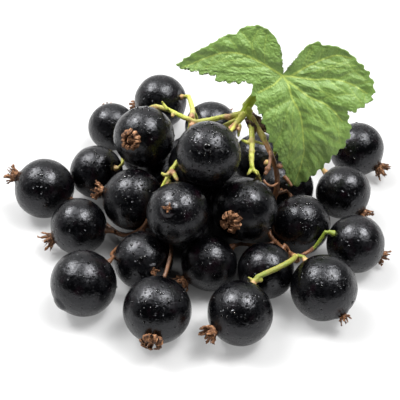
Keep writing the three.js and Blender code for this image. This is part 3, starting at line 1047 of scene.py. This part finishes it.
def leaf_teeth():
    """How far the margin moves out at each spoke, in millimetres. Between teeth it moves in."""
    heights = []
    big = margin_length / round(margin_length / TOOTH_PITCH)
    for spoke, place in enumerate(margin):
        walked = spoke / SPOKES * margin_length
        ahead = margin[(spoke + 6) % SPOKES].length - margin[spoke - 6].length
        wobble = 0.35 * noise.noise(Vector((walked * 0.35, 2.0, 0)))
        large = tooth_height(((walked + wobble) / big) % 1, ahead)
        small = tooth_height(((walked + wobble) / big * 2 + 0.35) % 1, ahead)
        calm = soft_step((place.y + 5) / 5) * 0.72 + 0.28
        calm *= soft_step((place.length - 2.5) / 4)
        vary = 0.8 + 0.5 * noise.noise(Vector((walked * 0.8, 7.0, 0)))
        heights.append((LARGE_TOOTH * large + SMALL_TOOTH * small - TOOTH_FOOT) * calm * vary)
    return heights


teeth = leaf_teeth()
print("tallest tooth is", round(max(teeth), 2), "mm")

# %% [markdown]
# ### The veins
# Five veins spread from the stalk, and side veins leave them like the barbs of a feather. The
# main ones are listed, and the side veins grow from them in code: each leaves at a slant,
# bends forward, and stops before it meets the margin.

# %% Draw the main veins and grow the side veins
VEIN_STEP = 0.6
VEIN_BEND = 0.05
VEIN_END_GAP = 0.4
MAIN_VEINS = [
    [(0, 0), (-3.3, -2.0), (-5.4, -3.1), (-7.4, -3.9), (-10.5, -4.2), (-14, -3.2), (-18.6, -1.2)],
    [(0, 0), (1.5, 0), (4.1, -1.5), (7.6, -3.1), (10.1, -3.7), (12.6, -3.2)],
    [(0, 0), (2.4, 0.2), (5.0, 0.6), (6.8, 0.7), (8.9, 0.6), (12.4, 1.4), (15.8, 3.3)],
    [(0.5, 0.7), (2.4, 2.0), (4.1, 3.3), (5.7, 4.2), (8.6, 5.6), (11.2, 8.4)],
    [(0, 0), (0.9, 1.3), (1.8, 4.2), (3.1, 6.5), (3.7, 9.0), (4.1, 12.9), (4.2, 14.2),
     (3.6, 17.5), (2.7, 20.6)],
    [(-0.1, 0.1), (-1.1, 1.1), (-1.8, 1.7), (-3.2, 2.4), (-4.4, 3.0)],
]
DRAWN_SIDE_VEINS = [
    [(1.8, 4.4), (0.6, 7.2), (-0.2, 10.3), (-1.5, 12.9)], [(4.1, -1.5), (5.4, -4.4)],
    [(4.0, 9.6), (1.9, 12.5), (1.1, 15.3)], [(-5.4, -3.1), (-5.6, -6.0), (-4.6, -8.2)],
    [(-3.3, -2.0), (-3.4, -5.0), (-3.0, -7.4)], [(1.8, 4.2), (-1.0, 5.4), (-3.6, 6.6)],
    [(4.1, 11.5), (6.4, 13.4), (8.0, 16.0)], [(3.8, 9.4), (7.4, 10.6), (11.0, 12.6)],
    [(4.2, 14.2), (5.2, 16.4), (5.6, 18.4)],
]


def inside_leaf(place, spare):
    """True if a place is within the margin by that many millimetres."""
    angle = math.atan2(place.y, place.x)
    nearest = min(margin, key=lambda edge: abs(math.remainder(
        math.atan2(edge.y, edge.x) - angle, 2 * math.pi)))
    return place.length < nearest.length - spare


def grow_side_veins(vein, spacing, slant, longest):
    """Side veins to the left and right of a vein, at even steps along it."""
    route = smooth_route([Vector((x, y, 0)) for x, y in vein], 12)
    grown = []
    walked = 0
    goal = spacing * 1.2
    side = 1
    for a, b in zip(route, route[1:]):
        walked += (b - a).length
        if walked < goal:
            continue
        goal += spacing * random.uniform(0.42, 0.6)
        side = -side
        heading = (b - a).normalized()
        heading.rotate(Matrix.Rotation(side * slant, 3, "Z"))
        place = b.copy()
        branch = [(place.x, place.y)]
        for _ in range(int(longest / VEIN_STEP)):
            heading.rotate(Matrix.Rotation(-side * VEIN_BEND, 3, "Z"))
            place = place + heading * VEIN_STEP
            if not inside_leaf(place, VEIN_END_GAP):
                break
            branch.append((place.x, place.y))
        if len(branch) > 2:
            grown.append(branch)
    return grown


side_veins = list(DRAWN_SIDE_VEINS)
for vein in MAIN_VEINS[:-1]:
    side_veins += grow_side_veins(vein, 3.2, 0.85, 6.0)
fine_veins = []
for vein in DRAWN_SIDE_VEINS:
    fine_veins += grow_side_veins(vein, 2.2, 0.9, 3.0)
print(len(MAIN_VEINS), "main veins,", len(side_veins), "side veins,", len(fine_veins), "fine ones")

# %% How far a place is from the veins
FAR_AWAY = 99.0


def distance_to(places, veins):
    """The distance of each place to the nearest of these veins, in millimetres."""
    nearest = numpy.full(len(places), FAR_AWAY)
    for vein in veins:
        route = smooth_route([Vector((x, y, 0)) for x, y in vein], 4)
        for a, b in zip(route, route[1:]):
            start = numpy.array((a.x, a.y))
            step = numpy.array((b.x - a.x, b.y - a.y))
            share = numpy.clip((places - start) @ step / (step @ step), 0, 1)
            gap = places - start - share[:, None] * step
            nearest = numpy.minimum(nearest, numpy.hypot(gap[:, 0], gap[:, 1]))
    return nearest


# %% [markdown]
# ### The leaf's finish
# Two finishes share a network: the upper side is a middle green with paler veins and a darker
# mesh, and the lower side is paler and duller. The darker mesh is painted shade in the grooves
# between the bulges of the quilt. The points carry how near they are to a vein and to a line of
# the mesh.

# %% The leaf's finish


def leaf_finish(name, green, deep, pale, shine):
    material, tree, shader, place = new_material(name)
    cells = add(tree, "TexVoronoi", {"Vector": place, "Scale": 1900}, feature="DISTANCE_TO_EDGE")
    cell = stretch(tree, cells.outputs["Distance"], 0.0, 0.16)
    patches = mottle(tree, place, 150, 4, 0.6)
    grain = mottle(tree, place, 4200, 2)
    colour = blend(tree, stretch(tree, patches, 0.35, 0.68), deep, green)
    # Painted shade: the blade is darker along the grooves of its quilt.
    colour = blend(tree, combine(tree, "MULTIPLY", carried(tree, "groove_shade"), 0.45), colour, deep)
    colour = blend(tree, stretch(tree, cell, 0, 1, 0.12, 0), colour, pale)
    colour = blend(tree, combine(tree, "MULTIPLY", carried(tree, "vein"), 0.8), colour, pale)
    join(tree, shader, {
        "Base Color": colour,
        "Roughness": stretch(tree, patches, 0.3, 0.7, shine + 0.1, shine - 0.04),
        "Normal": relief(tree, (cell, 0.025), (grain, 0.01)),
        "Specular IOR Level": 0.45,
    })
    return material


leaf_top = leaf_finish("leaf upper side", (0.212, 0.336, 0.092, 1), (0.145, 0.256, 0.050, 1),
                       (0.40, 0.50, 0.10, 1), 0.42)
leaf_under = leaf_finish("leaf lower side", (0.30, 0.40, 0.19, 1), (0.22, 0.32, 0.13, 1),
                         (0.48, 0.55, 0.26, 1), 0.65)
show_finish(leaf_top, leaf_under)

# %% [markdown]
# ### The blade
# The blade is grown flat, in millimetres, and then laid in place. The rings inside the margin
# are plain scaled copies of it. The last ring is pushed out along the margin's own normal by
# the height of its teeth, and the ring before it follows almost half as far, so that no face
# folds.

# %% Grow the blade ring by ring
LEAF_RINGS = 66
FOLLOWING = 0.45
LEAF_JOINT = at(15.2, 5.5, 33.1)
LEAF_ACROSS = Vector((1, 0, 0))
LEAF_DOWN = Vector((0, -0.5, -0.87)).normalized()
LEAF_OUT = LEAF_DOWN.cross(LEAF_ACROSS).normalized()
LEAF_THICKNESS = 0.28


def grow_blade():
    """A flat toothed blade in millimetres, with across as X and down as Y."""
    bm = bmesh.new()
    spoke_layer = bm.verts.layers.int.new("spoke")
    ring = bmesh.ops.create_circle(bm, cap_ends=True, radius=1, segments=SPOKES)["verts"]
    size = 1 / LEAF_RINGS
    for spoke, point in enumerate(ring):
        point.co = margin[spoke] * size
        point[spoke_layer] = spoke
    bmesh.ops.triangulate(bm, faces=bm.faces[:])
    loop = [edge for edge in bm.edges if edge.is_boundary]
    for step in range(2, LEAF_RINGS + 1):
        grown = bmesh.ops.extrude_edge_only(bm, edges=loop)["geom"]
        ring = {item for item in grown if isinstance(item, bmesh.types.BMVert)}
        loop = [item for item in grown if isinstance(item, bmesh.types.BMEdge)
                and item.verts[0] in ring and item.verts[1] in ring]
        share = step / (step - 1)
        bmesh.ops.scale(bm, verts=list(ring), vec=(share, share, share))
    for point in ring:
        spoke = point[spoke_layer]
        outward = margin_outward(spoke)
        point.co += outward * teeth[spoke]
        inner = min((edge.other_vert(point) for edge in point.link_edges
                     if edge.other_vert(point) not in ring), key=lambda other: other.co.length)
        inner.co += outward * teeth[spoke] * FOLLOWING
    bm.verts.layers.int.remove(spoke_layer)
    return bm


# %% Raise the quilt and lay the blade in place


def blade_rise(across, down):
    """The arch of the whole blade, in millimetres. The left lobe bends away."""
    side = 0.02 * across ** 2 if across < 0 else 0.007 * across ** 2
    return 1.2 * math.sin(0.15 * max(down, 0)) - side - 0.006 * down ** 2


def make_leaf():
    """Raises the quilt between the veins, lays the blade in place and gives it a thickness."""
    bm = grow_blade()
    places = numpy.array([(point.co.x, point.co.y) for point in bm.verts])
    to_main = distance_to(places, MAIN_VEINS)
    to_side = distance_to(places, side_veins)
    to_fine = distance_to(places, fine_veins)
    vein = bm.verts.layers.float.new("vein")
    groove_shade = bm.verts.layers.float.new("groove_shade")
    for index, point in enumerate(bm.verts):
        across, down = places[index]
        flat = Vector((across, down, 0))
        near, far = noise.voronoi(flat * 1.3 + noise.noise_vector(flat * 0.9) * 0.4)[0][:2]
        cushion = soft_step((far - near) / 0.45)
        from_stalk = soft_step(flat.length / 3)
        quilt = (0.40 * soft_step(to_main[index] / 1.8) + 0.24 * soft_step(to_side[index] / 1.3)
                 + 0.08 * soft_step(to_fine[index] / 0.8) + 0.09 * cushion) * from_stalk
        wave = 0.4 * noise.noise(flat * 0.2) + 0.12 * noise.noise(flat * 0.45)
        lift = blade_rise(across, down) + quilt - 0.45 + wave * soft_step(flat.length / 8)
        slim = 0.5 + 0.5 * soft_step(1 - flat.length / 22)
        point[vein] = max(soft_step(1.4 - to_main[index] / (0.19 * slim)),
                          0.40 * soft_step(1.3 - to_side[index] / 0.12),
                          0.22 * soft_step(1.3 - to_fine[index] / 0.12))
        # The grooves of the quilt carry painted shade.
        point[groove_shade] = 1 - cushion
        point.co = (LEAF_JOINT + LEAF_ACROSS * across * MM + LEAF_DOWN * down * MM
                    + LEAF_OUT * lift * MM)
    bm.normal_update()
    if sum((face.normal for face in bm.faces), Vector()).dot(LEAF_OUT) < 0:
        bmesh.ops.reverse_faces(bm, faces=bm.faces[:])
    leaf = make_piece(bm, "leaf_blade_skin", "leaf", ["leaf_blade"], leaf_top, leaf_under)
    wall = leaf.modifiers.new("thickness", "SOLIDIFY")
    wall.thickness = LEAF_THICKNESS * MM
    wall.offset = -1
    wall.material_offset = 1
    return leaf


leaf = make_leaf()
print("leaf has", len(leaf.data.polygons), "faces before its thickness")

# %% [markdown]
# ## Drops of water
# The fruit has just been rinsed. A drop on waxy skin stands up as a low dome, and its surface
# bends the light, so it shows as a dark spot with a sharp glint. The water is tinted grey, which
# is painted shade: clear drops would gather light and look paler than the skin. Each drop is a
# small ball, pressed flat and sunk to its waist into the skin. The drops of one berry are one
# piece.

# %% The finish of water


def water_finish():
    material, tree, shader, place = new_material("water")
    ripple = mottle(tree, place, 1500, 1)
    join(tree, shader, {
        # The grey tint of the water is painted shade.
        "Base Color": (0.10, 0.10, 0.11, 1), "Roughness": 0.03, "IOR": 1.45,
        "Transmission Weight": 1.0, "Normal": relief(tree, (ripple, 0.01)),
    })
    return material


water = water_finish()
show_finish(water)

# %% [markdown]
# The large drops are listed one by one, each with a direction from the berry's middle and a radius
# in millimetres. Small ones are sprinkled at random over the side that faces up.

# %% Sprinkle the drops
LARGE_DROPS = {
    3: ((0.05, -0.15, 0.98, 0.30), (-0.25, -0.45, 0.85, 0.25), (0.30, -0.50, 0.80, 0.24)),
    6: ((-0.35, 0.25, 0.90, 0.42), (-0.20, 0.30, 0.93, 0.38), (0.10, 0.35, 0.92, 0.40),
        (0.00, 0.18, 0.98, 0.30), (0.20, 0.12, 0.96, 0.28), (-0.50, 0.00, 0.85, 0.26)),
    8: ((-0.04, -0.66, 0.74, 0.80), (-0.42, 0.05, 0.90, 0.45), (-0.30, -0.12, 0.93, 0.34),
        (-0.08, 0.15, 0.98, 0.36), (0.10, 0.16, 0.97, 0.40), (0.22, -0.20, 0.94, 0.28),
        (0.02, -0.92, 0.38, 0.26), (-0.48, -0.30, 0.82, 0.30)),
    9: ((-0.20, -0.05, 0.97, 0.46), (-0.06, -0.06, 0.99, 0.42), (0.32, -0.35, 0.87, 0.34),
        (-0.15, -0.75, 0.63, 0.36), (0.25, -0.15, 0.94, 0.28)),
    10: ((-0.42, -0.80, 0.38, 0.30), (0.42, -0.78, 0.42, 0.28), (0.10, -0.30, 0.94, 0.26)),
    11: ((0.30, -0.15, 0.94, 0.36), (-0.35, -0.40, 0.84, 0.28), (0.00, -0.20, 0.97, 0.24)),
    12: ((0.15, -0.10, 0.98, 0.40), (0.40, -0.35, 0.84, 0.28)),
    19: ((-0.02, -0.68, 0.72, 0.46), (0.12, -0.64, 0.75, 0.40), (-0.35, -0.20, 0.90, 0.30)),
    21: ((0.05, -0.20, 0.97, 0.34), (-0.35, -0.45, 0.82, 0.28), (0.38, -0.45, 0.80, 0.30)),
}
SMALL_DROPS = {3: 30, 6: 40, 8: 80, 9: 54, 10: 70, 11: 60, 12: 36, 19: 34, 20: 46, 21: 44,
               22: 22, 1: 16, 14: 14, 18: 18, 17: 12, 15: 10, 2: 14, 28: 10}
UP_AND_FORWARD = Vector((0, -0.45, 0.89))
DROP_SPREAD = 0.45
SMALLEST_DROP = 0.10
SMALL_DROP_RANGE = 0.20
DROP_HEIGHT = 0.55


def add_drop(bm, berry, way, radius):
    place = berry["middle"] + way * (skin_radius(berry, way) + 0.05 * radius)
    pressed = Matrix.LocRotScale(place, way.to_track_quat("Z", "Y"),
                                 Vector((1, random.uniform(0.85, 1.1), DROP_HEIGHT)) * radius)
    bmesh.ops.create_icosphere(bm, subdivisions=2, radius=1, matrix=pressed)


def make_drops(number):
    berry = berries[number]
    bm = bmesh.new()
    for x, y, z, radius in LARGE_DROPS.get(number, ()):
        add_drop(bm, berry, Vector((x, y, z)).normalized(), radius * MM)
    for _ in range(SMALL_DROPS[number]):
        spread = Vector([random.gauss(0, DROP_SPREAD) for _ in range(3)])
        way = (UP_AND_FORWARD + spread).normalized()
        if way.dot(berry["tip"]) < 0.9 and way.dot(berry["stalk"]) < 0.95:
            radius = SMALLEST_DROP + SMALL_DROP_RANGE * random.random() ** 2
            add_drop(bm, berry, way, radius * MM)
    return make_piece(bm, f"berry_{number:02d}_drops", "water", [], water)


for number in SMALL_DROPS:
    make_drops(number)
print("wet berries:", len(SMALL_DROPS))
